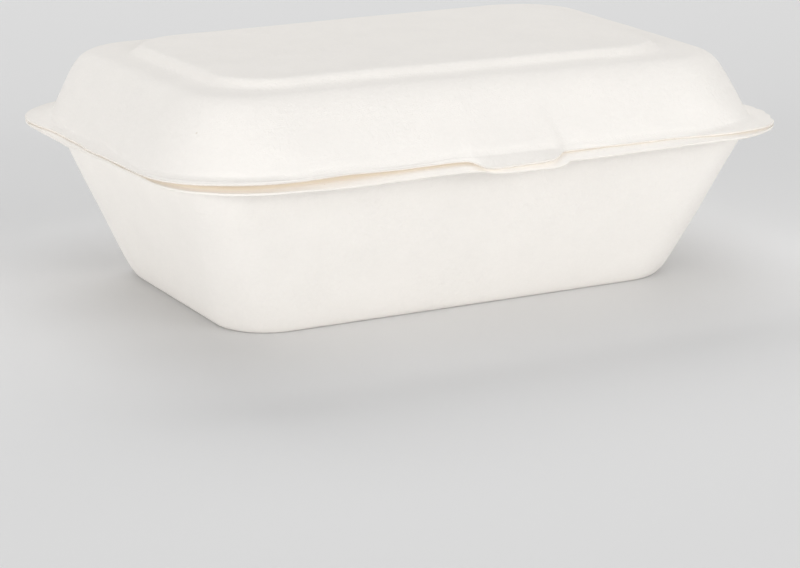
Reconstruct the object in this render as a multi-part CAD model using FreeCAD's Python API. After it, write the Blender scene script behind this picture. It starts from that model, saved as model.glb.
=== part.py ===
import FreeCAD, Part
import math
import os
from FreeCAD import Vector as V

os.makedirs("parts", exist_ok=True)

# Moulded-fibre (bagasse) clamshell food container, closed.
# Frame: origin at the centre of the resting face, +Z up, the long sides run
# along X, the tuck tongue is on the -Y side and the hinge is on the +Y side.

# ---------------------------------------------------------------- dimensions
sheet = 0.70             # wall thickness of the moulded pulp
rim_length = 182.0       # rim, along X
rim_width = 133.4        # rim, along Y
rim_corner_r = 25.3      # rim corner, in plan
parting_z = 43.46        # middle of the gap between the two rims
rim_gap = 0.30           # air between the two closed rims

# tray
tray_rim_inset = 9.0     # rim edge to the wall, at the underside of the rim
tray_top_r = 11.6        # wall corner in plan, at the rim
tray_foot_length = 134.3
tray_foot_width = 83.6
tray_foot_r = 16.0       # wall corner in plan, at the foot
tray_heel_up = 9.4       # the heel's curve starts this far up the wall
tray_heel_in = 1.9       # and ends this far in on the floor
rim_fold_r = 1.6         # bend between a rim and its wall, outside

# lid
lid_rim_inset = 6.5      # rim edge to the wall, at the top of the rim
lid_foot_r = 21.0        # wall corner in plan, at the rim
lid_top_length = 155.2
lid_top_width = 103.0
lid_top_r = 15.5         # wall corner in plan, at the shoulder
lid_top_z = 62.75        # flat shoulder round the raised panel
lid_brow_down = 8.3      # the brow's curve starts this far below the shoulder
lid_brow_in = 4.2        # and ends this far in on the shoulder
panel_inset = 11.8       # shoulder edge to the top of the raised panel
panel_r = 12.7
panel_rise = 2.1
panel_run = 2.2          # plan width of the slope round the panel

# tuck tongue, at the middle of the lid's front rim
tongue_x = 2.0           # its centre along X
tongue_root = 31.0       # width where it leaves the rim
tongue_tip = 20.0        # width of its front edge, before the corners are rounded
tongue_reach = 4.0
tongue_r = 4.0

# tab on the tray's front rim, under the tongue, to open the box by
tab_x = 4.0
tab_root = 24.6
tab_tip = 19.6
tab_reach = 2.8
tab_r = 2.0

# hinge: a thinned crease web along the straight part of the rear rim
hinge_length = 118.0
crease = 0.45            # web thickness
crease_clear = 0.20      # rim edge to the crease axis

tray_rim_top = parting_z - rim_gap / 2
tray_rim_low = tray_rim_top - sheet
lid_rim_low = parting_z + rim_gap / 2
lid_rim_top = lid_rim_low + sheet


# ------------------------------------------------------------------- helpers
def outline(a, b, r, z):
    """Rounded rectangle of half sizes a, b and corner radius r at height z."""
    k = r * (1 - math.sqrt(0.5))
    e = []
    e.append(Part.LineSegment(V(-a + r, -b, z), V(a - r, -b, z)))
    e.append(Part.Arc(V(a - r, -b, z), V(a - k, -b + k, z), V(a, -b + r, z)))
    e.append(Part.LineSegment(V(a, -b + r, z), V(a, b - r, z)))
    e.append(Part.Arc(V(a, b - r, z), V(a - k, b - k, z), V(a - r, b, z)))
    e.append(Part.LineSegment(V(a - r, b, z), V(-a + r, b, z)))
    e.append(Part.Arc(V(-a + r, b, z), V(-a + k, b - k, z), V(-a, b - r, z)))
    e.append(Part.LineSegment(V(-a, b - r, z), V(-a, -b + r, z)))
    e.append(Part.Arc(V(-a, -b + r, z), V(-a + k, -b + k, z), V(-a + r, -b, z)))
    return Part.Wire([s.toShape() for s in e])


def slab(a, b, r, z0, z1):
    """A plate of rounded-rectangle plan between two heights."""
    return Part.Face(outline(a, b, r, z0)).extrude(V(0, 0, z1 - z0))


def bezier(p0, p1, p2, t):
    u = 1 - t
    return u * u * p0 + 2 * u * t * p1 + t * t * p2


def bowl(rim, foot, up, inn, thick=0.0, over=0.0, steps=8):
    """A drafted tub standing on z = 0 with a curved heel.

    rim and foot are (half length, half width, corner radius, height) of the
    outer wall. thick moves every face inwards, for the inside of the shell.
    over carries the wall on past the rim, so that it cuts through cleanly.
    """
    a1, b1, r1, z1 = rim
    a0, b0, r0, z0 = foot
    h = z1 - z0
    slope = ((a1 - a0) + (b1 - b0)) / 2 / h
    side = thick * math.sqrt(1 + slope * slope)      # the wall's level offset

    def level(s, ins):
        return (a0 + (a1 - a0) * s - ins, b0 + (b1 - b0) * s - ins,
                r0 + (r1 - r0) * s - ins)

    z_up = z0 + up
    s_up = up / h
    # the wall, straight from the top of the heel to the rim
    s_top = 1.0 + over / h
    lower = outline(*level(s_up, side), z_up)
    upper = outline(*level(s_top, side), z1 + over)
    wall = Part.makeLoft([lower, upper], True, True)
    # the heel, a parabola from the wall to the floor
    rings = []
    floor = z0 + thick
    for i in range(steps + 1):
        t = i / steps
        a = bezier(level(s_up, side)[0], level(thick / h, side)[0],
                   level(0, inn + side * 0.5)[0], t)
        b = bezier(level(s_up, side)[1], level(thick / h, side)[1],
                   level(0, inn + side * 0.5)[1], t)
        r = bezier(level(s_up, side)[2], level(thick / h, side)[2],
                   level(0, inn + side * 0.5)[2], t)
        z = bezier(z_up, floor, floor, t)
        rings.append(outline(a, b, r, z))
    heel = Part.makeLoft(rings, True, False)
    return wall.fuse(heel).removeSplitter()


def edges_at(shape, z, box, tol=1e-3):
    """Edges that lie at height z inside the half sizes of a box."""
    found = []
    for e in shape.Edges:
        bb = e.BoundBox
        if abs(bb.ZMin - z) < tol and abs(bb.ZMax - z) < tol:
            if bb.XMax < box[0] and bb.XMin > -box[0]:
                if bb.YMax < box[1] and bb.YMin > -box[1]:
                    found.append(e)
    return found


def flip(shape, z):
    """Turn a shape over about the X axis and stand its zero plane at z."""
    s = shape.copy()
    s.rotate(V(0, 0, 0), V(1, 0, 0), 180)
    s.translate(V(0, 0, z))
    return s


def report(name, shape):
    bb = shape.BoundBox
    print(name, "valid", shape.isValid(), "solids", len(shape.Solids),
          "volume", round(shape.Volume, 1),
          "x", round(bb.XMin, 2), round(bb.XMax, 2),
          "y", round(bb.YMin, 2), round(bb.YMax, 2),
          "z", round(bb.ZMin, 2), round(bb.ZMax, 2))


half_l = rim_length / 2
half_w = rim_width / 2


def with_flap(plate, x, root, tip, reach, r, z):
    """A rim plate with a flat flap of its own sheet on its front edge."""
    y = -half_w
    hw, tw = root / 2, tip / 2
    flap = Part.makePolygon([V(x - hw, y + 3, z), V(x + hw, y + 3, z), V(x + hw, y, z),
                             V(x + tw, y - reach, z), V(x - tw, y - reach, z),
                             V(x - hw, y, z), V(x - hw, y + 3, z)])
    flap = Part.Face(flap).extrude(V(0, 0, sheet))
    tips = [e for e in flap.Edges if abs(e.BoundBox.ZMax - e.BoundBox.ZMin) > sheet / 2
            and e.BoundBox.YMax < y - reach + 0.1]
    flap = flap.makeFillet(r, tips)
    both = plate.fuse(flap).removeSplitter()
    roots = [e for e in both.Edges if abs(e.BoundBox.ZMax - e.BoundBox.ZMin) > sheet / 2
             and abs(e.BoundBox.YMax - y) < 0.05 and abs(abs(e.BoundBox.XMax - x) - hw) < 0.05]
    return both.makeFillet(r, roots)


# ---------------------------------------------------------------------- tray
rim = (half_l - tray_rim_inset, half_w - tray_rim_inset, tray_top_r, tray_rim_low)
foot = (tray_foot_length / 2, tray_foot_width / 2, tray_foot_r, 0.0)
outer = bowl(rim, foot, tray_heel_up, tray_heel_in)
inner = bowl(rim, foot, tray_heel_up, tray_heel_in, thick=sheet, over=3.0)
plate = slab(half_l, half_w, rim_corner_r, tray_rim_low, tray_rim_top)
plate = with_flap(plate, tab_x, tab_root, tab_tip, tab_reach, tab_r, tray_rim_low)
tray = outer.fuse(plate).removeSplitter()
near = (half_l - 2, half_w - 2)
tray = tray.makeFillet(rim_fold_r, edges_at(tray, tray_rim_low, near))
tray = tray.cut(inner)
tray = tray.makeFillet(rim_fold_r + sheet, edges_at(tray, tray_rim_top, near))
tray = tray.Solids[0]
report("base_tray", tray)

# ----------------------------------------------------------------------- lid
# built upside down, with the shoulder on z = 0 and the rim above it
deep = lid_top_z - lid_rim_top
rim = (half_l - lid_rim_inset, half_w - lid_rim_inset, lid_foot_r, deep)
foot = (lid_top_length / 2, lid_top_width / 2, lid_top_r, 0.0)
outer = bowl(rim, foot, lid_brow_down, lid_brow_in)
inner = bowl(rim, foot, lid_brow_down, lid_brow_in, thick=sheet, over=3.0)
outer = flip(outer, lid_top_z)
inner = flip(inner, lid_top_z)
pa, pb = lid_top_length / 2 - panel_inset, lid_top_width / 2 - panel_inset
tilt = math.atan2(panel_rise, panel_run)
shift = sheet * (1 - math.cos(tilt)) / math.sin(tilt)


def panel(out, z, sink):
    high = outline(pa + out, pb + out, panel_r + out, z + panel_rise)
    extra = panel_run * sink / panel_rise
    low = outline(pa + panel_run + out + extra, pb + panel_run + out + extra,
                  panel_r + panel_run + out + extra, z - sink)
    return Part.makeLoft([low, high], True, True)


step = panel(0.0, lid_top_z, 0.0)
hollow = panel(-shift, lid_top_z - sheet, 0.2)
plate = slab(half_l, half_w, rim_corner_r, lid_rim_low, lid_rim_top)
lid = outer.fuse(step).removeSplitter()
inside = (pa + panel_run + 1, pb + panel_run + 1)
lid = lid.makeFillet(1.6, edges_at(lid, lid_top_z, inside))
lid = lid.makeFillet(2.2, edges_at(lid, lid_top_z + panel_rise, inside))

# the tongue: a flat flap of the same sheet, its corners rounded
plate = with_flap(plate, tongue_x, tongue_root, tongue_tip, tongue_reach, tongue_r, lid_rim_low)

lid = lid.fuse(plate).removeSplitter()
lid = lid.makeFillet(rim_fold_r, edges_at(lid, lid_rim_top, near))
lid = lid.cut(inner.fuse(hollow))
lid = lid.makeFillet(rim_fold_r + sheet, edges_at(lid, lid_rim_low, near))
lid = lid.Solids[0]
report("lid", lid)

# --------------------------------------------------------------------- hinge
# the web folds back on itself in a tight half round; flat, it is level with
# both rims
axis_y = half_w + crease_clear
r_out = rim_gap / 2 + sheet
r_in = r_out - crease
x0 = -hinge_length / 2


def at(y, z):
    return V(x0, axis_y + y, parting_z + z)


loop = [
    Part.LineSegment(at(-crease_clear, -r_out), at(0, -r_out)),
    Part.Arc(at(0, -r_out), at(r_out, 0), at(0, r_out)),
    Part.LineSegment(at(0, r_out), at(-crease_clear, r_out)),
    Part.LineSegment(at(-crease_clear, r_out), at(-crease_clear, r_in)),
    Part.LineSegment(at(-crease_clear, r_in), at(0, r_in)),
    Part.Arc(at(0, r_in), at(r_in, 0), at(0, -r_in)),
    Part.LineSegment(at(0, -r_in), at(-crease_clear, -r_in)),
    Part.LineSegment(at(-crease_clear, -r_in), at(-crease_clear, -r_out)),
]
fold = Part.Face(Part.Wire([s.toShape() for s in loop])).extrude(V(hinge_length, 0, 0))
report("hinge_fold", fold)
print("crease axis: y", round(axis_y, 3), "z", round(parting_z, 3))

tray.exportStep("parts/base_tray.step")
lid.exportStep("parts/lid.step")
fold.exportStep("parts/hinge_fold.step")
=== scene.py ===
import math

import bpy
import numpy as np
from mathutils import Matrix, Vector


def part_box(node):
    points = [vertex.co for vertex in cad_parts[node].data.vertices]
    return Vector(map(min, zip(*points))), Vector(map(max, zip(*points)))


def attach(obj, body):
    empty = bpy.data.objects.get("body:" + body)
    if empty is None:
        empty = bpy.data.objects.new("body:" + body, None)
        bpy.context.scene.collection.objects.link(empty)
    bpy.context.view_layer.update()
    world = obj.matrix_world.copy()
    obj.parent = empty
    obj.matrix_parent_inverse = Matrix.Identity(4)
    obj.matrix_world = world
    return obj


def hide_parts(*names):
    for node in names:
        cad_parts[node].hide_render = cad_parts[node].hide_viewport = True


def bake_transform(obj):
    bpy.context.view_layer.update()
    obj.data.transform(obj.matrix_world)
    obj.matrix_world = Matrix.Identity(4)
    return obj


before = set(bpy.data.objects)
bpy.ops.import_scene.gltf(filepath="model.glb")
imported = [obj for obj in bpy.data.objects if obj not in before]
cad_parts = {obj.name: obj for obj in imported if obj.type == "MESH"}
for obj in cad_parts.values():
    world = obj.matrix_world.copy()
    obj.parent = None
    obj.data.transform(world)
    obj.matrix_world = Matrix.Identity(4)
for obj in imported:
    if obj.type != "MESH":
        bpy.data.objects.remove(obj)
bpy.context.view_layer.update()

MM = 0.001

# ------------------------------------------------------------------ sizes, mm
tray_lo, tray_hi = (np.array(c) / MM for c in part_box("base_tray"))
lid_lo, lid_hi = (np.array(c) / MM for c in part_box("lid"))
web_lo, web_hi = (np.array(c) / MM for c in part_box("hinge_fold"))

SHEET = 0.70
RIM_A = float(tray_hi[0])            # half length of the rim
RIM_B = float(tray_hi[1])            # half width
RIM_R = 25.3                         # rim corner in plan
TRAY_LOW = float(tray_hi[2]) - SHEET  # underside of the tray's rim
LID_LOW = float(lid_lo[2])           # underside of the lid's rim
LID_TOP = float(lid_hi[2])           # top of the raised panel
FOLD_R = 1.6


def smooth(t):
    t = np.clip(t, 0.0, 1.0)
    return t * t * (3 - 2 * t)


def table(points, p):
    """A smooth curve through (position, value) pairs, read at p."""
    x = np.array([a for a, _ in points], float)
    y = np.array([b for _, b in points], float)
    # monotone cubic, so that it doesn't overshoot between points
    h = np.diff(x)
    d = np.diff(y) / h
    m = np.zeros_like(x)
    m[1:-1] = np.where(d[1:] * d[:-1] > 0,
                       2 * d[1:] * d[:-1] / np.where(d[1:] + d[:-1] == 0, 1, d[1:] + d[:-1]), 0)
    p = np.clip(p, x[0], x[-1])
    i = np.clip(np.searchsorted(x, p) - 1, 0, len(h) - 1)
    t = (p - x[i]) / h[i]
    return ((2 * t**3 - 3 * t**2 + 1) * y[i] + (t**3 - 2 * t**2 + t) * h[i] * m[i]
            + (-2 * t**3 + 3 * t**2) * y[i + 1] + (t**3 - t**2) * h[i] * m[i + 1])


# ------------------------------------------------------- stations round a rim
# A station is a place on a rounded rectangle of any size: (cx, cy) picks the
# corner centre or the place between two of them, (nx, ny) is the way out.
# They run from the middle of the rear side by -X, the front and +X, and back.
NX, NY, NC = 134, 84, 44


def make_stations():
    rows = []
    for i in range(NX // 2):
        rows.append((-i / (NX / 2), 1, 0, 1))
    for i in range(NC):
        t = math.pi / 2 + (math.pi / 2) * i / NC
        rows.append((-1, 1, math.cos(t), math.sin(t)))
    for i in range(NY):
        rows.append((-1, 1 - 2 * i / NY, -1, 0))
    for i in range(NC):
        t = math.pi + (math.pi / 2) * i / NC
        rows.append((-1, -1, math.cos(t), math.sin(t)))
    for i in range(NX):
        rows.append((-1 + 2 * i / NX, -1, 0, -1))
    for i in range(NC):
        t = 1.5 * math.pi + (math.pi / 2) * i / NC
        rows.append((1, -1, math.cos(t), math.sin(t)))
    for i in range(NY):
        rows.append((1, -1 + 2 * i / NY, 1, 0))
    for i in range(NC):
        t = (math.pi / 2) * i / NC
        rows.append((1, 1, math.cos(t), math.sin(t)))
    for i in range(NX // 2):
        rows.append((1 - i / (NX / 2), 1, 0, 1))
    return np.array(rows, float)


ST = make_stations()
N = len(ST)


def ring(a, b, r):
    """Plan points of a rounded rectangle, one for each station."""
    return np.stack([ST[:, 0] * (a - r) + ST[:, 2] * r,
                     ST[:, 1] * (b - r) + ST[:, 3] * r], 1)


_rim = ring(RIM_A, RIM_B, RIM_R)
_step = np.linalg.norm(np.roll(_rim, -1, 0) - _rim, axis=1)
_len = np.concatenate([[0], np.cumsum(_step)])
# P is the distance along the rim from the middle of the front: minus on the
# -X side, plus on the +X side, and half the perimeter at the hinge
P = _len[:-1] - _len[-1] / 2
PERIM = float(_len[-1])


def wander(seed, waves, amp):
    """A smooth random function of P that closes on itself. waves is (longest, shortest) in mm."""
    rng = np.random.default_rng(seed)
    lo, hi = int(PERIM / waves[0]), int(PERIM / waves[1])
    total = np.zeros(N)
    for k in range(max(1, lo), hi + 1):
        total += rng.normal() * np.sin(2 * math.pi * k * P / PERIM + rng.uniform(0, 2 * math.pi))
    return amp * total / max(1e-9, np.abs(total).max())


# --------------------------------------------------------- rims as they lie
# The rims are thin moulded sheet, and they don't lie flat: they arch at the
# front left, the tray's rim curls down along the front, and both close
# together at the other corners. Places are P in mm, heights are z in mm.
TRAY_EDGE = [(-294, 42.61), (-228, 42.63), (-188, 42.66), (-165, 42.72), (-151, 43.05),
             (-143, 43.5), (-136, 43.85), (-129, 44.1), (-112, 44.35), (-102.6, 44.45),
             (-91.5, 44.15), (-80, 43.98), (-60.4, 43.2), (-46.8, 42.75), (-32.9, 42.7),
             (-21.5, 42.85), (-12, 42.8), (-9, 42.55), (-6.5, 42.1), (-3, 42.0), (1.5, 41.95),
             (5.5, 41.9), (9.5, 41.75), (12.5, 41.85), (14.5, 42.05), (16.2, 42.35), (18, 42.42),
             (25.2, 42.42), (37.4, 42.5),
             (49.7, 42.66), (59, 42.75), (65.3, 42.8), (80, 42.75), (93.6, 42.72),
             (120, 42.66), (294, 42.61)]
TRAY_INNER = [(-294, 42.61), (-188, 42.72), (-165, 42.75), (-151, 42.95), (-136, 43.5),
              (-112, 44.15), (-91.5, 44.1), (-80, 44.0), (-60, 43.8), (-46, 43.8),
              (-33, 43.9), (-19, 44.0), (0, 44.0), (19, 44.0), (37, 44.05), (50, 44.0),
              (59, 43.7), (66, 43.4), (80, 43.0), (93.6, 42.72), (120, 42.66), (294, 42.61)]
# how wide the turned down edge of the tray's rim is
CURL = [(-294, 5.2), (-90, 5.0), (-70, 3.6), (-55, 2.9), (0, 2.9), (30, 4.2), (75, 5.0), (95, 5.2), (294, 5.2)]
# the tray's rim has a small tab of its own under the tongue
TAB_REACH = [(-294, 0), (-9, 0), (-7.5, 1.3), (-5, 2.5), (-2, 2.8), (10, 2.8), (12.5, 2.3), (14.8, 1.1),
             (16.4, 0), (294, 0)]
LID_EDGE = [(-294, 43.61), (-228, 43.55), (-188, 43.5), (-165, 43.5), (-151, 43.7),
            (-143, 44.15), (-136, 44.6), (-129, 44.95), (-122, 45.12), (-112, 45.2), (-102.6, 45.65),
            (-91.5, 46.0), (-80, 46.25), (-70, 46.05), (-60, 45.8), (-49, 45.98), (-37, 45.73),
            (-26.5, 45.66), (-18.7, 45.75), (-10, 45.6), (0, 45.45), (10, 45.25), (19.2, 45.07),
            (37, 44.97), (50, 44.9), (59, 44.65), (65.3, 44.5), (75, 44.3), (85, 43.7), (93.6, 43.4),
            (105, 43.75), (118, 43.75), (150, 43.61), (294, 43.61)]
# how far the lid's edge lies inside the tray's
LID_BACK = [(-294, 0), (-198, 0), (-188, 0.5), (-178, 1.5), (-168, 1.9), (-158, 1.7), (-150, 1.1),
            (-140, 0.4), (-125, 0), (-70, 0), (-60, 0.1), (-47, 0.6), (-33, 1.3), (-19, 1.6), (0, 1.6),
            (19, 2.0), (37, 2.2), (50, 2.2), (65, 1.5), (80, 0.5), (93, 0), (294, 0)]
# how wide the lip outside the foot of its wall stays where the foot comes
# out to the edge, and how steeply the rim falls away to its edge
LIP = [(-294, 12), (-172, 6), (-155, 3.2), (-140, 2.2), (-122, 1.2), (-108, 0.8), (-88, 0.9), (-70, 0.6),
       (52, 0.55), (62, 1.0), (74, 2.4), (88, 5.0), (105, 9), (125, 12), (294, 12)]
FLARE = [(-294, 0.02), (-228, 0.08), (-190, 0.24), (-165, 0.36), (-140, 0.42), (-115, 0.5), (-95, 0.6),
         (-72, 0.68), (-52, 0.95), (0, 1.0), (45, 0.95), (60, 0.6), (75, 0.36), (90, 0.2), (110, 0.1),
         (150, 0.02), (294, 0.02)]
SIGHT = 0.263     # drop of the line of sight, per mm of depth
# the tuck tongue: reach past the rim, and height of its underside at the tip
TONGUE_REACH = [(-294, 0), (-13.5, 0), (-11.0, 1.2), (-8.6, 2.4), (-5, 2.8), (6, 2.8), (10, 2.5),
                (13, 1.5), (16.5, 0), (294, 0)]
TONGUE_TIP = [(-14, 43.75), (-9.4, 43.62), (-3.6, 43.6), (-0.7, 43.62), (2.2, 43.7), (5, 43.76),
              (8, 43.82), (11, 43.92), (14, 44.2), (17.6, 44.5)]


# ------------------------------------------------------------ shell builder
def bezier(p0, p1, p2, t):
    u = 1 - t
    return u * u * p0 + 2 * u * t * p1 + t * t * p2


def fold_profile(radius, slope, n):
    """The bend between a level rim and a wall that goes away from it.
    slope is the wall's inset per mm of depth. Gives (inset past the rim's
    corner line, depth) from the tangent point on the rim to the one on the wall."""
    lean = math.atan(slope)                    # wall off the upright
    turn = math.pi / 2 - lean
    t = radius * math.tan(turn / 2)
    out = []
    for i in range(n):
        a = turn * i / (n - 1)
        out.append((-t + radius * math.sin(a), radius * (1 - math.cos(a))))
    return np.array(out)


class Levels:
    """The rings of one face of a shell, from the middle of its flat to its rim."""

    def __init__(self):
        self.a, self.b, self.r, self.z, self.tag, self.q = [], [], [], [], [], []

    def add(self, a, b, r, z, tag, q=0.0):
        self.q.append(q)
        self.a.append(a)
        self.b.append(b)
        self.r.append(r)
        self.z.append(z)
        self.tag.append(tag)


def tray_levels():
    lv = Levels()
    inset, r_top = 9.0, 11.6
    a1, b1 = RIM_A - inset, RIM_B - inset
    a0, b0, r0 = 134.3 / 2, 83.6 / 2, 16.0
    h = TRAY_LOW
    up, inn = 9.4, 1.9
    ma, mb = (a1 - a0) / h, (b1 - b0) / h

    def wall(z):
        s = z / h
        return a0 + (a1 - a0) * s, b0 + (b1 - b0) * s, r0 + (r_top - r0) * s

    af, bf, rf = a0 - inn, b0 - inn, r0 - inn
    n = 14
    for i in range(n):
        f = 1 - (i / n) ** 0.8
        lv.add(af - bf * f, bf * (1 - f), rf * (1 - f), 0.0, 0)
    n = 13
    s_up = wall(up)
    s_0 = wall(0.0)
    for i in range(n + 1):
        t = 1 - i / n
        lv.add(*(bezier(s_up[k], s_0[k], (af, bf, rf)[k], t) for k in range(3)),
               bezier(up, 0.0, 0.0, t), 1)
    m = (ma + mb) / 2
    fold = fold_profile(FOLD_R, m, 8)
    z_w = h - fold[-1, 1]
    n = 19
    for i in range(1, n):
        z = up + (z_w - up) * i / n
        lv.add(*wall(z), z, 2)
    for q, dep in fold[::-1]:
        blend = dep / fold[-1, 1]
        r = wall(h - dep)[2] if dep > 0.8 else None
        e = inset + q
        rr = r_top + (RIM_R - r_top) * max(0.0, (inset - e) / inset)
        lv.add(RIM_A - e + (m - ma) * dep * blend * -1, RIM_B - e + (m - mb) * dep * blend * -1,
               rr if r is None else rr * (1 - blend) + r * blend, h - dep, 3)
    e0 = inset + fold[0, 0]
    for f in (0.86, 0.7, 0.55, 0.42, 0.3, 0.2, 0.11, 0.05):
        e = e0 * f
        lv.add(RIM_A - e, RIM_B - e, r_top + (RIM_R - r_top) * (inset - e) / inset, h, 4)
    lv.add(RIM_A - 0.16, RIM_B - 0.16, RIM_R - 0.16, h, 5)
    return lv


# the lid's moulding, mm: half sizes of the sharp upper corner line, how far the
# wall's foot is inside the rim, the brow (rounded upper edge), the raised panel,
# and how the whole lid stands open and twisted on its crease
LID = dict(a=78.38, b=52.26, r=19.25, foot_x=3.92, foot_y=4.96, foot_r=30.58, fold=1.20, z=62.74,
           down=7.14, inn=5.86, sharp=1.41,
           panel_x=14.35, panel_y=13.67, panel_r=15.48, rise=2.24, run=2.40, edge_r=2.86, base_r=3.19,
           c0=0.826, c1=-0.260, c2=0.314, c3=-1.535, c4=-0.667)


def rational(p0, p1, p2, w, t):
    u = 1 - t
    return (u * u * p0 + 2 * w * u * t * p1 + t * t * p2) / (u * u + 2 * w * u * t + t * t)


def lid_levels():
    lv = Levels()
    p = LID
    a1, b1 = RIM_A - p["foot_x"], RIM_B - p["foot_y"]
    a0, b0, r0, r_top = p["a"], p["b"], p["r"], p["foot_r"]
    rim_top = LID_LOW + SHEET
    z_s = p["z"]
    h = z_s - rim_top
    up, inn = p["down"], p["inn"]
    ma, mb = (a1 - a0) / h, (b1 - b0) / h

    def wall(d):
        s = d / h
        return a0 + (a1 - a0) * s, b0 + (b1 - b0) * s, r0 + (r_top - r0) * s

    pa, pb, pr, run = a0 - p["panel_x"], b0 - p["panel_y"], p["panel_r"], p["run"]
    # panel top, its rounded edge, the slope, and its rounded foot
    z_p = z_s + p["rise"]
    tilt = math.atan2(p["rise"], run)
    edge_r, base_r = p["edge_r"], p["base_r"]
    t_e = edge_r * math.tan(tilt / 2)
    t_f = base_r * math.tan(tilt / 2)
    n = 12
    e_in = -t_e
    for i in range(n):
        f = 1 - (i / n) ** 0.8
        a, b, r = pa + e_in, pb + e_in, pr + e_in
        lv.add(a - b * f, b * (1 - f), r * (1 - f), z_p, 0)
    for i in range(6):
        t = tilt * i / 5
        o = e_in + edge_r * math.sin(t)
        lv.add(pa + o, pb + o, pr + o, z_p - edge_r * (1 - math.cos(t)), 1)
    for i in range(6):
        t = tilt * (1 - i / 5)
        o = run + t_f - base_r * math.sin(t)
        lv.add(pa + o, pb + o, pr + o, z_s + base_r * (1 - math.cos(t)), 1)
    of = run + t_f
    ca, cb = a0 - inn - (pa + of), b0 - inn - (pb + of)     # flat of the shoulder
    for f in (0.2, 0.4, 0.6, 0.8):
        lv.add(pa + of + ca * f, pb + of + cb * f, pr + of + (r0 - inn - pr - of) * f, z_s, 2)
    s_up, s_0 = wall(up), wall(0.0)
    s_in = (a0 - inn, b0 - inn, r0 - inn)
    n = 14
    for i in range(n + 1):
        t = 1 - i / n
        lv.add(*(rational(s_up[k], s_0[k], s_in[k], p["sharp"], t) for k in range(3)),
               z_s - rational(up, 0.0, 0.0, p["sharp"], t), 3)
    m = (ma + mb) / 2
    fold = fold_profile(p["fold"], m, 8)
    d_w = h - fold[-1, 1]
    n = 9
    for i in range(1, n):
        d = up + (d_w - up) * i / n
        lv.add(*wall(d), z_s - d, 4)
    for q, dep in fold[::-1]:
        blend = dep / fold[-1, 1]
        ex, ey = p["foot_x"] + q, p["foot_y"] + q
        e = (ex + ey) / 2
        inset = (p["foot_x"] + p["foot_y"]) / 2
        rr = r_top + (RIM_R - r_top) * max(0.0, (inset - e) / inset)
        r = wall(h - dep)[2]
        lv.add(RIM_A - ex + (m - ma) * dep * blend * -1, RIM_B - ey + (m - mb) * dep * blend * -1,
               rr * (1 - blend) + r * blend, rim_top + dep, 5, q)
    ex0, ey0 = p["foot_x"] + fold[0, 0], p["foot_y"] + fold[0, 0]
    r_f = lv.r[-1]
    for f in (0.86, 0.72, 0.58, 0.45, 0.33, 0.22, 0.13, 0.05):
        lv.add(RIM_A - ex0 * f, RIM_B - ey0 * f, r_f + (RIM_R - r_f) * (1 - f), rim_top, 6, 1 - f)
    lv.add(RIM_A, RIM_B, RIM_R, rim_top, 7, 1.0)
    return lv


def lid_lift(x, y):
    """How far the lid stands up off its closed place: nothing at the crease,
    most at the front left."""
    t = (66.9 - y) / 133.6
    u = x / 91.0
    return t * (LID["c0"] + LID["c1"] * u + LID["c2"] * t + LID["c3"] * u * t + LID["c4"] * u * u)


def rings(lv):
    """(levels, stations, 3) points of the flat, unwarped face."""
    out = np.zeros((len(lv.a), N, 3))
    for j in range(len(lv.a)):
        out[j, :, :2] = ring(lv.a[j], lv.b[j], lv.r[j])
        out[j, :, 2] = lv.z[j]
    return out


def normals_of(g, up):
    """Unit normals of a grid, on the side that up points to at the middle of the flat."""
    du = np.roll(g, -1, 1) - np.roll(g, 1, 1)
    dv = np.zeros_like(g)
    dv[1:-1] = g[2:] - g[:-2]
    dv[0], dv[-1] = g[1] - g[0], g[-1] - g[-2]
    n = np.cross(du, dv)
    l = np.linalg.norm(n, axis=2, keepdims=True)
    n = n / np.maximum(l, 1e-12)
    n[0] = (0, 0, 1)
    for j in range(1, len(n)):
        bad = l[j, :, 0] < 1e-7
        n[j][bad] = n[j - 1][bad]
    k = len(n) // 5
    if (n[2:k, :, 2].mean() > 0) != (up > 0):
        n = -n
    n[0] = (0, 0, 1 if up > 0 else -1)
    return n


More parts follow.
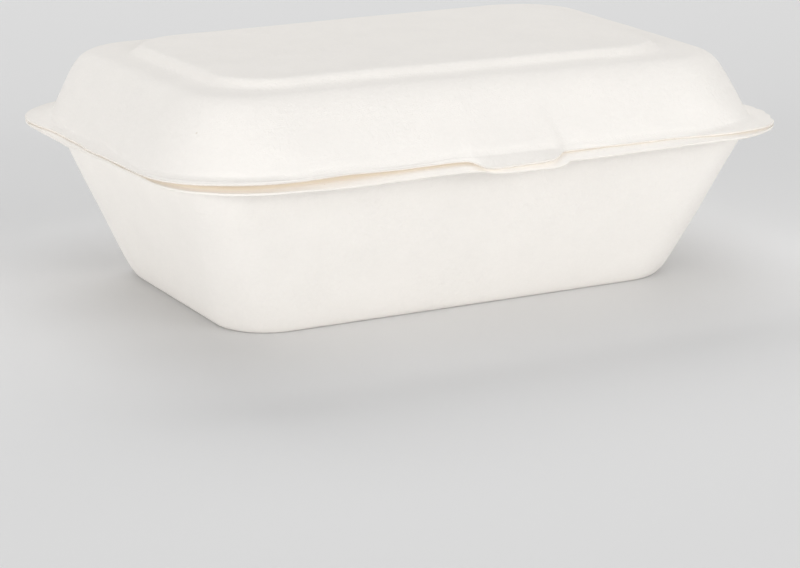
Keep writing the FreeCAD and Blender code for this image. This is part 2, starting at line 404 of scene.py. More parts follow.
def build_shell(name, outer, inner, cut_noise, tags, zones, lip=0):
    """One closed mesh from the outside face, the cut edge and the inside face.
    Both faces are (levels, stations, 3) from the middle out. zones says which
    levels lie flat: their fine texture is laid out in plan, and that of the
    others along the sheet. The inside has its own material slot, and so has
    the lip, the outermost levels of the inside face."""
    L = len(outer)
    o_e, i_e = outer[-1], inner[-1]
    out_dir = np.stack([ST[:, 2], ST[:, 3], np.zeros(N)], 1)
    across = i_e - o_e
    edge = []
    for f, o in ((0.10, 0.10), (0.24, 0.15), (0.5, 0.165), (0.76, 0.15), (0.90, 0.10)):
        rough = cut_noise[:, None] * (0.4 + 0.6 * math.sin(math.pi * f))
        edge.append(o_e + across * f + out_dir * (o + rough))
    grid = np.concatenate([outer, np.array(edge), inner[::-1]], 0)
    M = len(grid)

    # the first and last rings close onto a line
    key = np.round(np.clip(ST[:, 0], -1, 1), 6)
    uniq, first, inv = np.unique(key, return_index=True, return_inverse=True)
    U = len(uniq)
    cap_a, cap_b = grid[0, first].copy(), grid[-1, first].copy()
    cap_a[:, 1] = cap_b[:, 1] = 0.0
    verts = np.concatenate([cap_a, grid[1:-1].reshape(-1, 3), cap_b], 0)
    index = np.empty((M, N), int)
    index[0] = inv
    index[1:-1] = U + np.arange((M - 2) * N).reshape(M - 2, N)
    index[-1] = U + (M - 2) * N + inv

    # lengths along the sheet, in mm, for the fine textures
    seg = np.linalg.norm(np.diff(grid, axis=0), axis=2)
    vlen = np.concatenate([np.zeros((1, N)), np.cumsum(seg, 0)], 0)
    vlen = vlen - vlen[L]
    step = np.linalg.norm(np.roll(grid, -1, 1) - grid, axis=2)
    ulen = np.concatenate([np.zeros((M, 1)), np.cumsum(step, 1)], 1)
    mid = int(np.argmin(np.abs(P)))
    ulen = ulen - ulen[:, mid:mid + 1]

    J, I = np.meshgrid(np.arange(M - 1), np.arange(N), indexing="ij")
    I2 = (I + 1) % N
    quads = np.stack([index[J, I], index[J, I2], index[J + 1, I2], index[J + 1, I]], -1)
    us = np.stack([ulen[J, I], ulen[J, I + 1], ulen[J + 1, I + 1], ulen[J + 1, I]], -1)
    vs = np.stack([vlen[J, I], vlen[J, I2], vlen[J + 1, I2], vlen[J + 1, I]], -1)
    flat = np.array([zones[min(j, 2 * L + 4 - 1 - j)] for j in range(M - 1)])
    xs = np.stack([grid[J, I, 0], grid[J, I2, 0], grid[J + 1, I2, 0], grid[J + 1, I, 0]], -1)
    ys = np.stack([grid[J, I, 1], grid[J, I2, 1], grid[J + 1, I2, 1], grid[J + 1, I, 1]], -1)
    us = np.where(flat[:, None, None], xs, us)
    vs = np.where(flat[:, None, None], ys, vs)
    uv4 = np.stack([us, vs], -1)

    body = quads[1:-1].reshape(-1, 4)
    body_uv = uv4[1:-1].reshape(-1, 4, 2)
    loops, uvs, sizes = [body.ravel()], [body_uv.reshape(-1, 2)], [np.full(len(body), 4)]
    n_caps = [0, 0]
    for j in (0, M - 2):
        for i in range(N):
            keep, uk = [], []
            for v, u in zip(quads[j, i], uv4[j, i]):
                if v not in keep:
                    keep.append(v)
                    uk.append(u)
            if len(keep) >= 3:
                loops.append(np.array(keep))
                uvs.append(np.array(uk))
                sizes.append(np.array([len(keep)]))
                n_caps[j > 0] += 1
    loops, uvs, sizes = np.concatenate(loops), np.concatenate(uvs), np.concatenate(sizes)

    a, b, c, d = (verts[body[:, k]] for k in range(4))
    vol = float((a * np.cross(b, c)).sum() + (a * np.cross(c, d)).sum()) / 6

    me = bpy.data.meshes.new(name)
    me.vertices.add(len(verts))
    me.vertices.foreach_set("co", (verts * MM).astype(np.float32).ravel())
    me.loops.add(len(loops))
    me.loops.foreach_set("vertex_index", loops.astype(np.int32))
    band = np.arange(M - 1) - (L + 5)
    slot_no = np.repeat(np.where(band < 0, 0, np.where(band < lip, 2, 1)), N)
    caps = np.concatenate([np.full(n_caps[0], 0), np.full(n_caps[1], 1)])
    slot_no = np.concatenate([slot_no[N:-N], caps])
    me.polygons.add(len(sizes))
    me.polygons.foreach_set("loop_start", np.concatenate([[0], np.cumsum(sizes)[:-1]]).astype(np.int32))
    me.polygons.foreach_set("material_index", slot_no.astype(np.int32))
    me.update(calc_edges=True)
    uv = me.uv_layers.new(name="sheet_mm")
    uv.data.foreach_set("uv", (uvs * 0.01).astype(np.float32).ravel())
    if vol < 0:
        me.flip_normals()
    me.validate()
    for t, values in tags.items():
        at = me.attributes.new(t, "FLOAT", "POINT")
        data = np.zeros(len(verts), np.float32)
        data[index.ravel()] = values.ravel().astype(np.float32)
        at.data.foreach_set("value", data)
    me.shade_smooth()
    ob = bpy.data.objects.new(name, me)
    bpy.context.scene.collection.objects.link(ob)
    return ob, vol


def soft_noise(shape_levels, seed, n_terms, lam_u, lam_v, vpos):
    """Low, slow unevenness over a face: (levels, stations) of about -1..1."""
    rng = np.random.default_rng(seed)
    tot = np.zeros((shape_levels, N))
    for _ in range(n_terms):
        k = max(1, int(round(PERIM / rng.uniform(*lam_u))))
        f = 1.0 / rng.uniform(*lam_v)
        ph1, ph2 = rng.uniform(0, 2 * math.pi, 2)
        tot += rng.normal() * np.sin(2 * math.pi * (k * P[None, :] / PERIM + f * vpos) + ph1) \
            * np.cos(2 * math.pi * f * 0.7 * vpos + ph2)
    return tot / (np.abs(tot).max() + 1e-9)


def slide(ring, by):
    """The ring read at each station's number plus by, on a smooth closed curve."""
    at = np.arange(N) + by
    i = np.floor(at).astype(int)
    t = (at - i)[:, None]
    p0, p1, p2, p3 = (ring[(i + k) % N] for k in (-1, 0, 1, 2))
    return 0.5 * (2 * p1 + (p2 - p0) * t + (2 * p0 - 5 * p1 + 4 * p2 - p3) * t ** 2
                  + (3 * p1 - p0 - 3 * p2 + p3) * t ** 3)


def square_to(ring, rim):
    """By how many stations each point of a ring moves to lie square to the rim."""
    by = np.zeros(N)
    for _ in range(12):
        p = slide(ring, by)
        q = slide(ring, by + 0.5) - slide(ring, by - 0.5)
        off = (p[:, 0] - rim[:, 0]) * -ST[:, 3] + (p[:, 1] - rim[:, 1]) * ST[:, 2]
        step = q[:, 0] * -ST[:, 3] + q[:, 1] * ST[:, 2]
        by = by - np.clip(off / np.where(np.abs(step) < 0.05, 0.05 * np.sign(step + 1e-9), step), -2, 2)
    return by


# ------------------------------------------------------------------ the tray
lvt = tray_levels()
g = rings(lvt)
LT = len(lvt.a)
tag = np.array(lvt.tag)
z0 = np.array(lvt.z)
rim_in = (9.0 + fold_profile(FOLD_R, (0.3486 + 0.373) / 2, 8)[0, 0])
edge_z = table(TRAY_EDGE, P) + wander(11, (40, 9), 0.07)
inner_z = table(TRAY_INNER, P)
for j in range(LT):
    lift = inner_z - TRAY_LOW
    if tag[j] >= 4:
        q = RIM_A - lvt.a[j]
        c = np.clip(1 - q / table(CURL, P), 0, 1) ** 1.5
        g[j, :, 2] += lift + (edge_z - inner_z) * c
        out = table(TAB_REACH, P) * smooth(1 - q / 3.6)
        g[j, :, 0] += ST[:, 2] * out
        g[j, :, 1] += ST[:, 3] * out
    else:
        g[j, :, 2] += lift * smooth((z0[j] - 16.0) / (TRAY_LOW - 16.0))
cut = wander(5, (30, 2.2), 0.10) + wander(6, (5, 2.0), 0.05)
vpos = np.cumsum(np.concatenate([[0], np.hypot(np.diff(lvt.a), np.diff(lvt.z))]))[:, None]
uneven = soft_noise(LT, 21, 26, (28, 110), (22, 70), vpos) * 0.16
fade = smooth((z0[:, None] - 0.0) / 6.0) * np.where(tag[:, None] >= 4, 0.25, 1.0)
nrm = normals_of(g, -1)
g = g + nrm * uneven[:, :, None] * fade[:, :, None]
# the cut line of the rim isn't quite even
w_edge = np.array([np.clip(1 - (RIM_A - a) / 3.0, 0, 1) if t >= 4 else 0 for a, t in zip(lvt.a, tag)])
trim = wander(7, (90, 18), 0.28)
g[:, :, 0] += w_edge[:, None] * ST[None, :, 2] * trim[None, :]
g[:, :, 1] += w_edge[:, None] * ST[None, :, 3] * trim[None, :]
nrm = normals_of(g, -1)
thick = SHEET * (1 + 0.04 * soft_noise(LT, 22, 14, (15, 60), (10, 40), vpos))
gi = g - nrm * thick[:, :, None]
edge_tag = np.zeros((2 * LT + 5, N))
edge_tag[LT - 1:LT + 6] = 1.0
edge_tag[LT - 2] = edge_tag[LT + 6] = 0.4
print_o = np.interp(tag, [0, 1, 2, 3, 4, 5], [0.25, 0.5, 0.6, 0.5, 0.5, 0.4])[:, None] * np.ones((1, N))
print_all = np.concatenate([print_o, np.full((5, N), 0.2), np.full((LT, N), 0.12)], 0)
lip = int(np.sum((RIM_A - np.array(lvt.a) < 3.4) & (tag >= 4))) - 1
near_edge = np.where(np.arange(LT) <= lip, 1.0, 0.0)[:, None] * np.ones((1, N))
out_all = np.concatenate([np.ones((LT, N)), np.full((5, N), 0.8), near_edge], 0)
zones = [t == 0 for t in tag] + [False] * 10
tray_shell, v1 = build_shell("tray_shell", g, gi, cut,
                             {"cut_edge": edge_tag, "print": print_all, "outside": out_all}, zones, lip)

# ------------------------------------------------------------------- the lid
lvl = lid_levels()
g = rings(lvl)
LL = len(lvl.a)
tag = np.array(lvl.tag)
z0 = np.array(lvl.z)
RIM_TOP = LID_LOW + SHEET
back = table(LID_BACK, P)
reach = table(TONGUE_REACH, P)
on_tongue = smooth(reach / 3.0)
edge_low = table(LID_EDGE, P) - SIGHT * back * (P > -110) + wander(12, (40, 9), 0.06)
tip_low = table(TONGUE_TIP, P)
q_j = np.array(lvl.q)
fold = tag == 5
q_w, q_f = q_j[fold].max(), q_j[fold].min()
start = int(np.nonzero(fold)[0][-1])                # the ring where the flat of the rim starts
first = int(np.nonzero(tag == 4)[0][0])
for j in range(first, LL - 1):                      # stations square to the rim's edge
    w = 1.0 if j >= start - 7 else smooth((j - first + 1) / (start - 7 - first + 1))
    g[j] = slide(g[j], square_to(g[j], g[-1]) * w)
plain = ((g[-1, :, :2] - g[start, :, :2]) * ST[:, 2:4]).sum(1)   # its width as moulded
out_by = np.clip(plain - back - table(LIP, P), 0, None)
for _ in range(5):
    out_by = (np.roll(out_by, 2) + np.roll(out_by, -2) + out_by) / 3
out_by = np.minimum(out_by, plain - back - 0.45)
flare = table(FLARE, P)
edge_in = back * (1 - on_tongue) - reach           # of the edge, from the tray's rim line
drop_fold = flare * (q_w - q_f)
drop = drop_fold + flare * np.maximum(plain - out_by - back, 0.2)
base_low = edge_low + drop
# over the tongue the foot of the wall sweeps out a little to meet it
on_root = smooth(table([(-294, 0), (-27, 0), (-11, 1), (13, 1), (31, 0), (294, 0)], P))
out_tongue = np.clip(np.minimum(1.2 * on_root, plain - out_by - edge_in - 0.45), 0, None)
base_low = base_low + 0.3 * on_root
lift_rim = lid_lift(g[-1, :, 0], g[-1, :, 1])
for j in range(LL):
    if tag[j] >= 6:
        f = q_j[j]
        move = (out_by + out_tongue) * (1 - f) - edge_in * f
        g[j, :, 0] += ST[:, 2] * move
        g[j, :, 1] += ST[:, 3] * move
        z = base_low - drop_fold + (edge_low - base_low + drop_fold) * f
        zt = base_low - drop_fold + (tip_low - base_low + drop_fold) * f
        g[j, :, 2] += z * (1 - on_tongue) + zt * on_tongue - LID_LOW
        continue
    lift = lid_lift(g[j, :, 0], g[j, :, 1])
    near = smooth((LID["z"] - 2.0 - z0[j]) / (LID["z"] - 2.0 - RIM_TOP))
    theta = lift / np.maximum(66.9 - g[j, :, 1], 5.0)
    down = np.clip((LID["z"] - z0[j]) / (LID["z"] - RIM_TOP), 0, 1)
    move = out_by * down + out_tongue * down ** 3
    g[j, :, 0] += ST[:, 2] * move
    g[j, :, 1] += ST[:, 3] * move + (z0[j] - 43.46) * theta * (1 - near)
    g[j, :, 2] += lift + (base_low - LID_LOW - lift_rim) * near
    if tag[j] == 5:
        g[j, :, 2] -= flare * (q_w - q_j[j])
vpos = np.cumsum(np.concatenate([[0], np.hypot(np.diff(lvl.a), np.diff(lvl.z))]))[:, None]
uneven = soft_noise(LL, 31, 26, (28, 110), (22, 70), vpos) * 0.14
fade = np.where(tag[:, None] >= 6, 0.3, 1.0)
nrm = normals_of(g, 1)
g = g + nrm * (uneven * fade)[:, :, None]
w_edge = np.where(tag >= 6, q_j, 0.0)
trim = wander(8, (90, 18), 0.25)
scallop = np.zeros(N)
for c, w_, d in ((94.0, 1.8, 0.8), (99.5, 1.5, 0.7), (105.0, 1.7, 0.8), (111.5, 1.8, 0.6), (120.0, 2.0, 0.5)):
    scallop -= d * np.exp(-np.abs((P - c) / w_) ** 1.3)
trim = trim + scallop
g[:, :, 0] += w_edge[:, None] * ST[None, :, 2] * trim[None, :]
g[:, :, 1] += w_edge[:, None] * ST[None, :, 3] * trim[None, :]
nrm = normals_of(g, 1)
width = np.maximum(plain - out_by - out_tongue - edge_in, 0.3)
fall = flare * (1 - on_tongue) + on_tongue * (base_low - drop_fold - tip_low) / width
n_rim = np.stack([ST[:, 2] * fall, ST[:, 3] * fall, np.ones(N)], 1)
n_rim /= np.linalg.norm(n_rim, axis=1, keepdims=True)
for j in range(start + 1, LL):
    w = smooth(q_j[j] / 0.3) if tag[j] == 6 else 1.0
    nrm[j] = nrm[j] * (1 - w) + n_rim * w
nrm /= np.linalg.norm(nrm, axis=2, keepdims=True)
thick = SHEET * (1 + 0.04 * soft_noise(LL, 32, 14, (15, 60), (10, 40), vpos))
gi = g - nrm * thick[:, :, None]
cut = wander(15, (30, 2.2), 0.10) + wander(16, (5, 2.0), 0.05)
edge_tag = np.zeros((2 * LL + 5, N))
edge_tag[LL - 1:LL + 6] = 1.0
edge_tag[LL - 2] = edge_tag[LL + 6] = 0.4
print_o = np.interp(tag, [0, 1, 2, 3, 4, 5, 6, 7], [0.2, 0.9, 0.5, 1.0, 0.6, 0.6, 0.5, 0.4])[:, None] * np.ones((1, N))
print_all = np.concatenate([print_o, np.full((5, N), 0.2), np.full((LL, N), 0.12)], 0)
out_all = np.concatenate([np.ones((LL, N)), np.full((5, N), 0.5), np.zeros((LL, N))], 0)
zones = [t in (0, 1, 2) for t in tag] + [False] * 10
lid_shell, v2 = build_shell("lid_shell", g, gi, cut,
                            {"cut_edge": edge_tag, "print": print_all, "outside": out_all}, zones)
print("shell volumes, mm3:", round(abs(v1)), round(abs(v2)), "levels", LT, LL, "stations", N,
      "triangles", sum(len(p.vertices) - 2 for p in tray_shell.data.polygons),
      sum(len(p.vertices) - 2 for p in lid_shell.data.polygons))


# ----------------------------------------------------------------- the hinge
def build_web():
    """The pressed crease: a strip that leaves the tray's rim, turns over in a
    half round and meets the lid's rim."""
    x0, x1 = float(web_lo[0]), float(web_hi[0])
    y_ax = RIM_B + 0.2
    z_ax = (float(tray_hi[2]) + LID_LOW) / 2
    r_out = z_ax - float(web_lo[2])
    r_in = r_out - 0.45
    nx = 237
    xs = np.linspace(x0, x1, nx)
    prof_o = [(-0.2, -r_out), (-0.1, -r_out), (0.0, -r_out)]
    prof_i = [(-0.2, -r_in), (-0.1, -r_in), (0.0, -r_in)]
    for i in range(1, 16):
        t = -math.pi / 2 + math.pi * i / 16
        prof_o.append((r_out * math.cos(t), r_out * math.sin(t)))
        prof_i.append((r_in * math.cos(t), r_in * math.sin(t)))
    prof_o += [(0.0, r_out), (-0.1, r_out), (-0.2, r_out)]
    prof_i += [(0.0, r_in), (-0.1, r_in), (-0.2, r_in)]
    prof_o, prof_i = np.array(prof_o), np.array(prof_i)
    rng = np.random.default_rng(41)
    ridge = np.zeros(nx)
    for k in range(20, 160):
        ridge += rng.normal() / k ** 0.4 * np.sin(2 * math.pi * k * np.arange(nx) / nx + rng.uniform(0, 6.28))
    ridge = 0.035 * ridge / np.abs(ridge).max()
    loop = np.concatenate([prof_o, prof_i[::-1]], 0)
    K = len(loop)
    bulge = np.concatenate([np.cos(np.linspace(-1.5, 1.5, len(prof_o))), np.zeros(len(prof_i))])
    verts = []
    for i, x in enumerate(xs):
        end = 1.0 - 0.35 * np.exp(-min(x - x0, x1 - x) / 0.6)
        c = loop.mean(0)
        for k in range(K):
            p = loop[k] * (1 + ridge[i] * bulge[k])
            verts.append((x, y_ax + p[0], z_ax + p[1]))
    faces = []
    for i in range(nx - 1):
        for k in range(K):
            k2 = (k + 1) % K
            faces.append((i * K + k, i * K + k2, (i + 1) * K + k2, (i + 1) * K + k))
    # the two ends, strip by strip
    h = len(prof_o)
    for i, flip in ((0, False), (nx - 1, True)):
        for k in range(h - 1):
            a, b, c, d = k, k + 1, K - 2 - k, K - 1 - k
            f = (i * K + a, i * K + d, i * K + c, i * K + b)
            faces.append(f[::-1] if flip else f)
    verts = np.array(verts)
    me = bpy.data.meshes.new("hinge_web")
    me.from_pydata((verts * MM).tolist(), [], faces)
    vol = 0.0
    for f in faces:
        for k in range(1, len(f) - 1):
            vol += np.dot(verts[f[0]], np.cross(verts[f[k]], verts[f[k + 1]]))
    if vol < 0:
        me.flip_normals()
    s = np.concatenate([[0], np.cumsum(np.linalg.norm(np.diff(loop, axis=0), axis=1))])
    uv = me.uv_layers.new(name="sheet_mm")
    flat = np.zeros((len(me.loops), 2), np.float32)
    vi = np.zeros(len(me.loops), int)
    me.loops.foreach_get("vertex_index", vi)
    flat[:, 0] = verts[vi, 0] * 0.01
    flat[:, 1] = s[vi % K] * 0.01
    uv.data.foreach_set("uv", flat.ravel())
    for name_, val in (("cut_edge", 0.5), ("print", 0.15), ("outside", 1.0)):
        at = me.attributes.new(name_, "FLOAT", "POINT")
        at.data.foreach_set("value", np.full(len(verts), val, np.float32))
    me.shade_smooth()
    ob = bpy.data.objects.new("hinge_web", me)
    bpy.context.scene.collection.objects.link(ob)
    return ob, y_ax, z_ax, r_in


hinge_web, hinge_y, hinge_z, hinge_r = build_web()


# ------------------------------------------------------------------ material
def node(nt, kind, x, y, **values):
    n = nt.nodes.new(kind)
    n.location = (x, y)
    for k, v in values.items():
        setattr(n, k, v)
    return n


def pulp_material(name, base, inside, seed, glow_tint=None, glow=0.0):
    mat = bpy.data.materials.new(name)
    mat.use_nodes = True
    nt = mat.node_tree
    nt.nodes.clear()
    link = nt.links.new
    out = node(nt, "ShaderNodeOutputMaterial", 1400, 0)
    bsdf = node(nt, "ShaderNodeBsdfPrincipled", 1100, 0)
    bsdf.inputs["IOR"].default_value = 1.45
    bsdf.inputs["Specular IOR Level"].default_value = 0.25
    if glow_tint:          # painted glow: a faint warm emission that stands in for the light coming through the thin sheet
        bsdf.inputs["Emission Color"].default_value = (*glow_tint, 1)
        bsdf.inputs["Emission Strength"].default_value = glow
    link(bsdf.outputs[0], out.inputs[0])
    tex = node(nt, "ShaderNodeTexCoord", -1600, 0)
    uvn = node(nt, "ShaderNodeUVMap", -1600, -500)
    uvn.uv_map = "sheet_mm"

    def noise(x, y, scale, detail, rough=0.55, dist=0.0, stretch=None):
        n = node(nt, "ShaderNodeTexNoise", x, y)
        n.inputs["Scale"].default_value = scale
        n.inputs["Detail"].default_value = detail
        n.inputs["Roughness"].default_value = rough
        n.inputs["Distortion"].default_value = dist
        m = node(nt, "ShaderNodeMapping", x - 200, y)
        m.inputs["Location"].default_value = (seed, seed * 0.37, seed * 0.11)
        if stretch:
            m.inputs["Scale"].default_value = stretch[0]
            m.inputs["Rotation"].default_value = stretch[1]
        link(tex.outputs["Object"], m.inputs[0])
        link(m.outputs[0], n.inputs["Vector"])
        return n

    def math_(x, y, op, a, b=None, c=None, clamp=False):
        n = node(nt, "ShaderNodeMath", x, y, operation=op, use_clamp=clamp)
        for i, v in enumerate((a, b, c)):
            if v is None:
                continue
            if isinstance(v, (int, float)):
                n.inputs[i].default_value = v
            else:
                link(v, n.inputs[i])
        return n.outputs[0]

    def attr(x, y, name_):
        n = node(nt, "ShaderNodeAttribute", x, y)
        n.attribute_name = name_
        return n.outputs["Fac"]

    cut = attr(-1600, 400, "cut_edge")
    printed = attr(-1600, 550, "print")
    outer = attr(-1600, 700, "outside")
    # colour: cloudy formation, felt, fibres, and a few bagasse specks
    cloud = noise(-1100, 700, 95.0, 3.0)
    felt = noise(-1100, 450, 900.0, 4.0, 0.6)
    fib_a = noise(-1100, 200, 1500.0, 3.0, 0.6, 0.6, ((0.22, 1.0, 1.0), (0.2, 0.3, 0.5)))
    fib_b = noise(-1100, -50, 1500.0, 3.0, 0.6, 0.6, ((1.0, 0.22, 0.6), (0.7, 0.1, 2.1)))
    fib = math_(-850, 100, "ADD", fib_a.outputs[0], fib_b.outputs[0])
    v = math_(-800, 650, "MULTIPLY_ADD", cloud.outputs[0], 0.045, -0.0225)
    v = math_(-650, 600, "MULTIPLY_ADD", felt.outputs[0], 0.03, v)
    v = math_(-500, 550, "MULTIPLY_ADD", fib, 0.022, v)
    v = math_(-350, 520, "ADD", v, 0.963)
    col = node(nt, "ShaderNodeVectorMath", 100, 420, operation="SCALE")
    link(v, col.inputs["Scale"])
    # the felt side, inside, keeps more of the fibre's straw colour
    felt_side = node(nt, "ShaderNodeMix", -100, 420, data_type="RGBA")
    link(outer, felt_side.inputs[0])
    felt_side.inputs[6].default_value = (*inside, 1)
    felt_side.inputs[7].default_value = (*base, 1)
    link(felt_side.outputs[2], col.inputs[0])
    # specks: rare dark points, each a short fleck
    vor = node(nt, "ShaderNodeTexVoronoi", -1100, -350, feature="F1")
    vor.inputs["Scale"].default_value = 95.0
    vm = node(nt, "ShaderNodeMapping", -1300, -350)
    vm.inputs["Location"].default_value = (seed * 1.7, 0.3, seed)
    link(tex.outputs["Object"], vm.inputs[0])
    link(vm.outputs[0], vor.inputs["Vector"])
    sep = node(nt, "ShaderNodeSeparateColor", -850, -450)
    link(vor.outputs["Color"], sep.inputs[0])
    rare = math_(-650, -450, "GREATER_THAN", sep.outputs[0], 0.90)
    size = math_(-650, -600, "MULTIPLY_ADD", sep.outputs[1], 0.025, 0.012)
    near = math_(-650, -300, "LESS_THAN", vor.outputs["Distance"], size)
    speck = math_(-450, -350, "MULTIPLY", rare, near)
    amount = math_(-250, -350, "MULTIPLY", speck, 0.22)
    mix = node(nt, "ShaderNodeMix", 350, 350, data_type="RGBA")
    link(amount, mix.inputs[0])
    link(col.outputs[0], mix.inputs[6])
    mix.inputs[7].default_value = (0.42, 0.30, 0.16, 1)
    # the cut edge shows the sheet's core, a little creamier
    mix2 = node(nt, "ShaderNodeMix", 600, 350, data_type="RGBA")
    e = math_(350, 600, "MULTIPLY", cut, 0.5)
    link(e, mix2.inputs[0])
    link(mix.outputs[2], mix2.inputs[6])
    mix2.inputs[7].default_value = (base[0] * 1.0, base[1] * 0.99, base[2] * 0.965, 1)
    link(mix2.outputs[2], bsdf.inputs["Base Color"])
    # roughness
    r = math_(0, 150, "MULTIPLY_ADD", felt.outputs[0], 0.16, 0.74)
    r = math_(200, 150, "MULTIPLY_ADD", cut, 0.08, r, clamp=True)
    link(r, bsdf.inputs["Roughness"])
    # the wire screen's imprint: a fine cross hatch over the sheet
    wv = node(nt, "ShaderNodeVectorMath", -1350, -800, operation="SCALE")
    wv.inputs["Scale"].default_value = 100.0
    link(uvn.outputs[0], wv.inputs[0])
    warp = node(nt, "ShaderNodeTexNoise", -1350, -1000)
    warp.inputs["Scale"].default_value = 260.0
    warp.inputs["Detail"].default_value = 2.0
    link(tex.outputs["Object"], warp.inputs["Vector"])
    wadd = node(nt, "ShaderNodeVectorMath", -1100, -850, operation="MULTIPLY_ADD")
    link(warp.outputs["Color"], wadd.inputs[0])
    wadd.inputs[1].default_value = (0.34, 0.34, 0.0)
    link(wv.outputs[0], wadd.inputs[2])
    sxy = node(nt, "ShaderNodeSeparateXYZ", -900, -850)
    link(wadd.outputs[0], sxy.inputs[0])
    pitch = 0.6
    k = 2 * math.pi / pitch
    su = math_(-700, -800, "MULTIPLY_ADD", sxy.outputs[0], 0.16, sxy.outputs[1])
    sv = math_(-700, -950, "MULTIPLY_ADD", sxy.outputs[0], -1.5, sxy.outputs[1])
    su = math_(-550, -800, "MULTIPLY", su, k)
    sv = math_(-550, -950, "MULTIPLY", sv, k * 0.5)
    su = math_(-400, -800, "SINE", su)
    sv = math_(-400, -950, "SINE", sv)
    weave = math_(-250, -850, "MULTIPLY_ADD", sv, 0.45, su)
    weave = math_(-100, -850, "MULTIPLY", weave, printed)
    patch = node(nt, "ShaderNodeMapRange", -400, -1150)
    patch.inputs[1].default_value, patch.inputs[2].default_value = 0.35, 0.65
    patch.inputs[3].default_value, patch.inputs[4].default_value = 0.25, 1.0
    link(cloud.outputs[0], patch.inputs[0])
    weave = math_(50, -850, "MULTIPLY", weave, patch.outputs[0])
    # bump: screen, then felt and fibres
    b1 = node(nt, "ShaderNodeBump", 500, -600)
    b1.inputs["Strength"].default_value = 1.0
    b1.inputs["Distance"].default_value = 0.000011
    link(weave, b1.inputs["Height"])
    dent = noise(-100, -1300, 780.0, 1.5, 0.5, 0.9, ((1.0, 0.62, 0.8), (0.5, 0.2, 0.6)))
    dent_on = node(nt, "ShaderNodeMapRange", 100, -1450)
    dent_on.inputs[1].default_value, dent_on.inputs[2].default_value = 0.42, 0.62
    dent_on.inputs[3].default_value, dent_on.inputs[4].default_value = 0.35, 1.6
    spread = noise(-100, -1600, 42.0, 1.0)
    link(spread.outputs[0], dent_on.inputs[0])
    dents = math_(300, -1350, "MULTIPLY", dent.outputs[0], dent_on.outputs[0])
    dents = math_(450, -1250, "MULTIPLY_ADD", dents, 1.3, felt.outputs[0])
    b2 = node(nt, "ShaderNodeBump", 700, -500)
    b2.inputs["Strength"].default_value = 1.0
    b2.inputs["Distance"].default_value = 0.00009
    link(dents, b2.inputs["Height"])
    link(b1.outputs[0], b2.inputs["Normal"])
    b3 = node(nt, "ShaderNodeBump", 900, -400)
    b3.inputs["Strength"].default_value = 1.0
    b3.inputs["Distance"].default_value = 0.00003
    f3 = math_(700, -700, "MULTIPLY_ADD", cut, 1.5, 0.6)
    f3 = math_(700, -850, "MULTIPLY", f3, fib)
    link(f3, b3.inputs["Height"])
    link(b2.outputs[0], b3.inputs["Normal"])
    link(b3.outputs[0], bsdf.inputs["Normal"])
    return mat


BASE = (0.915, 0.885, 0.845)
INSIDE = (0.92, 0.878, 0.815)
# painted glow on the inside faces: a warm emission that stands in for light coming through the sheet, and lightens the
# shaded gap between the rims
PAINTED_GLOW_TINT = (1.0, 0.9, 0.78)
PAINTED_GLOW = 0.142
LIP_PAINTED_GLOW_TINT = (1.0, 0.98, 0.96)      # painted glow by the edge: a whiter emission on the lip, standing in for the sheet letting more, and whiter, light through there
LIP_PAINTED_GLOW = 0.08
pulp = pulp_material("pulp", BASE, INSIDE, 3.1)
pulp_lid = pulp_material("pulp_lid", BASE, INSIDE, 7.7)
# slot 1 (the inside) and slot 2 (the tray's lip) carry the painted glow materials
tray_shell.data.materials.append(pulp)
tray_shell.data.materials.append(pulp_material("pulp_inside_painted_glow", BASE, INSIDE, 5.3, PAINTED_GLOW_TINT, PAINTED_GLOW))
tray_shell.data.materials.append(pulp_material("pulp_lip_painted_glow", BASE, BASE, 5.3, LIP_PAINTED_GLOW_TINT, LIP_PAINTED_GLOW))
lid_shell.data.materials.append(pulp_lid)
lid_shell.data.materials.append(pulp_material("pulp_lid_inside_painted_glow", BASE, INSIDE, 9.1, PAINTED_GLOW_TINT, PAINTED_GLOW))
hinge_web.data.materials.append(pulp)

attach(tray_shell, "tray")
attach(lid_shell, "cover")
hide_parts("base_tray")
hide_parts("lid")
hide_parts("hinge_fold")
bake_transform(hinge_web)


# ------------------------------------------------- floor, lights and camera
def floor_material():
    mat = bpy.data.materials.new("studio_floor")
    mat.use_nodes = True
    nt = mat.node_tree
    bsdf = nt.nodes["Principled BSDF"]
    bsdf.inputs["Base Color"].default_value = (0.795, 0.795, 0.795, 1)
    bsdf.inputs["Roughness"].default_value = 0.9
    bsdf.inputs["Specular IOR Level"].default_value = 0.1
    return mat


me = bpy.data.meshes.new("floor")
R_FLOOR, n_floor = 8.0, 96
me.from_pydata([(R_FLOOR * math.cos(2 * math.pi * i / n_floor), R_FLOOR * math.sin(2 * math.pi * i / n_floor), 0.0)
                for i in range(n_floor)], [], [list(range(n_floor))])
floor = bpy.data.objects.new("floor", me)
me.materials.append(floor_material())
bpy.context.scene.collection.objects.link(floor)
floor.location.z = -0.00005

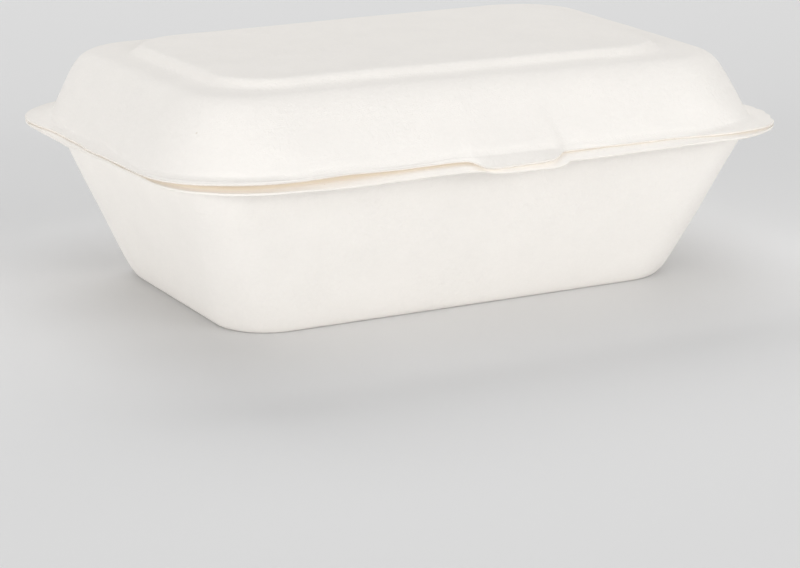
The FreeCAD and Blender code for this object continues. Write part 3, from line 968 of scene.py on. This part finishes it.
AZ, EL, ROLL = (math.radians(a) for a in (-26.915944, 13.005661, -0.535877))
DIST = 0.791344
FOCAL = 2870.164                     # pixels, for a frame 800 wide
d = Vector((math.sin(AZ) * math.cos(EL), -math.cos(AZ) * math.cos(EL), math.sin(EL)))
right = (-d).cross(Vector((0, 0, 1))).normalized()
up = right.cross(-d)
target = Vector((0, 0, 0.035)) + right * 0.000919359 - up * 0.005455936
right2 = right * math.cos(ROLL) + up * math.sin(ROLL)
up2 = -right * math.sin(ROLL) + up * math.cos(ROLL)
cam_data = bpy.data.cameras.new("camera")
cam_data.sensor_width = 36.0
cam_data.lens = FOCAL / 800 * 36.0
cam_data.shift_y = -(284 - 168) / 800
cam_data.clip_start, cam_data.clip_end = 0.05, 30
cam = bpy.data.objects.new("camera", cam_data)
cam.matrix_world = Matrix((
    (right2.x, up2.x, d.x, (target + d * DIST).x),
    (right2.y, up2.y, d.y, (target + d * DIST).y),
    (right2.z, up2.z, d.z, (target + d * DIST).z),
    (0, 0, 0, 1)))
bpy.context.scene.collection.objects.link(cam)
bpy.context.scene.camera = cam


def softbox(name, at, aim, size, power):
    data = bpy.data.lights.new(name, "AREA")
    data.shape = "RECTANGLE"
    data.size, data.size_y = size
    data.energy = power
    ob = bpy.data.objects.new(name, data)
    ob.location = at
    ob.rotation_mode = "QUATERNION"
    ob.rotation_quaternion = (Vector(aim) - Vector(at)).to_track_quat("-Z", "Y")
    bpy.context.scene.collection.objects.link(ob)
    return ob


def from_dir(az, el, dist, height):
    """A place on a sphere round the object, kept far enough above the floor for a box this high."""
    a, e = math.radians(az), math.radians(el)
    z = max(dist * math.sin(e), height / 2 * math.cos(e) + 0.02)
    return (dist * math.sin(a) * math.cos(e), -dist * math.cos(a) * math.cos(e), z)


softbox("low_left", from_dir(-100, 2, 4.0, 0.24), (0, 0, 0.03), (2.0, 0.24), 18.8)
softbox("low_right", from_dir(80, 2, 4.0, 0.24), (0, 0, 0.03), (2.0, 0.24), 6.6)
softbox("left", from_dir(-60, 12, 2.2, 0.8), (0, 0, 0.03), (1.6, 0.8), 20.0)
softbox("front", from_dir(20, 12, 2.2, 0.8), (0, 0, 0.03), (1.6, 0.8), 15.6)
softbox("fill", from_dir(25, 30, 2.2, 1.0), (0, 0, 0.03), (1.6, 1.0), 6.3)
softbox("top", from_dir(0, 88, 2.2, 2.0), (0, 0, 0.03), (2.0, 2.0), 14.0)
softbox("back", from_dir(160, 40, 2.2, 1.0), (0, 0, 0.03), (2.0, 1.0), 19.8)

world = bpy.data.worlds.new("studio")
world.use_nodes = True
bg = world.node_tree.nodes["Background"]
bg.inputs[0].default_value = (1.0, 1.0, 1.0, 1)
bg.inputs[1].default_value = 0.207
bpy.context.scene.world = world
view = bpy.context.scene.view_settings
view.view_transform = "Standard"
view.look = "None"
view.exposure = 0.0
view.gamma = 1.0
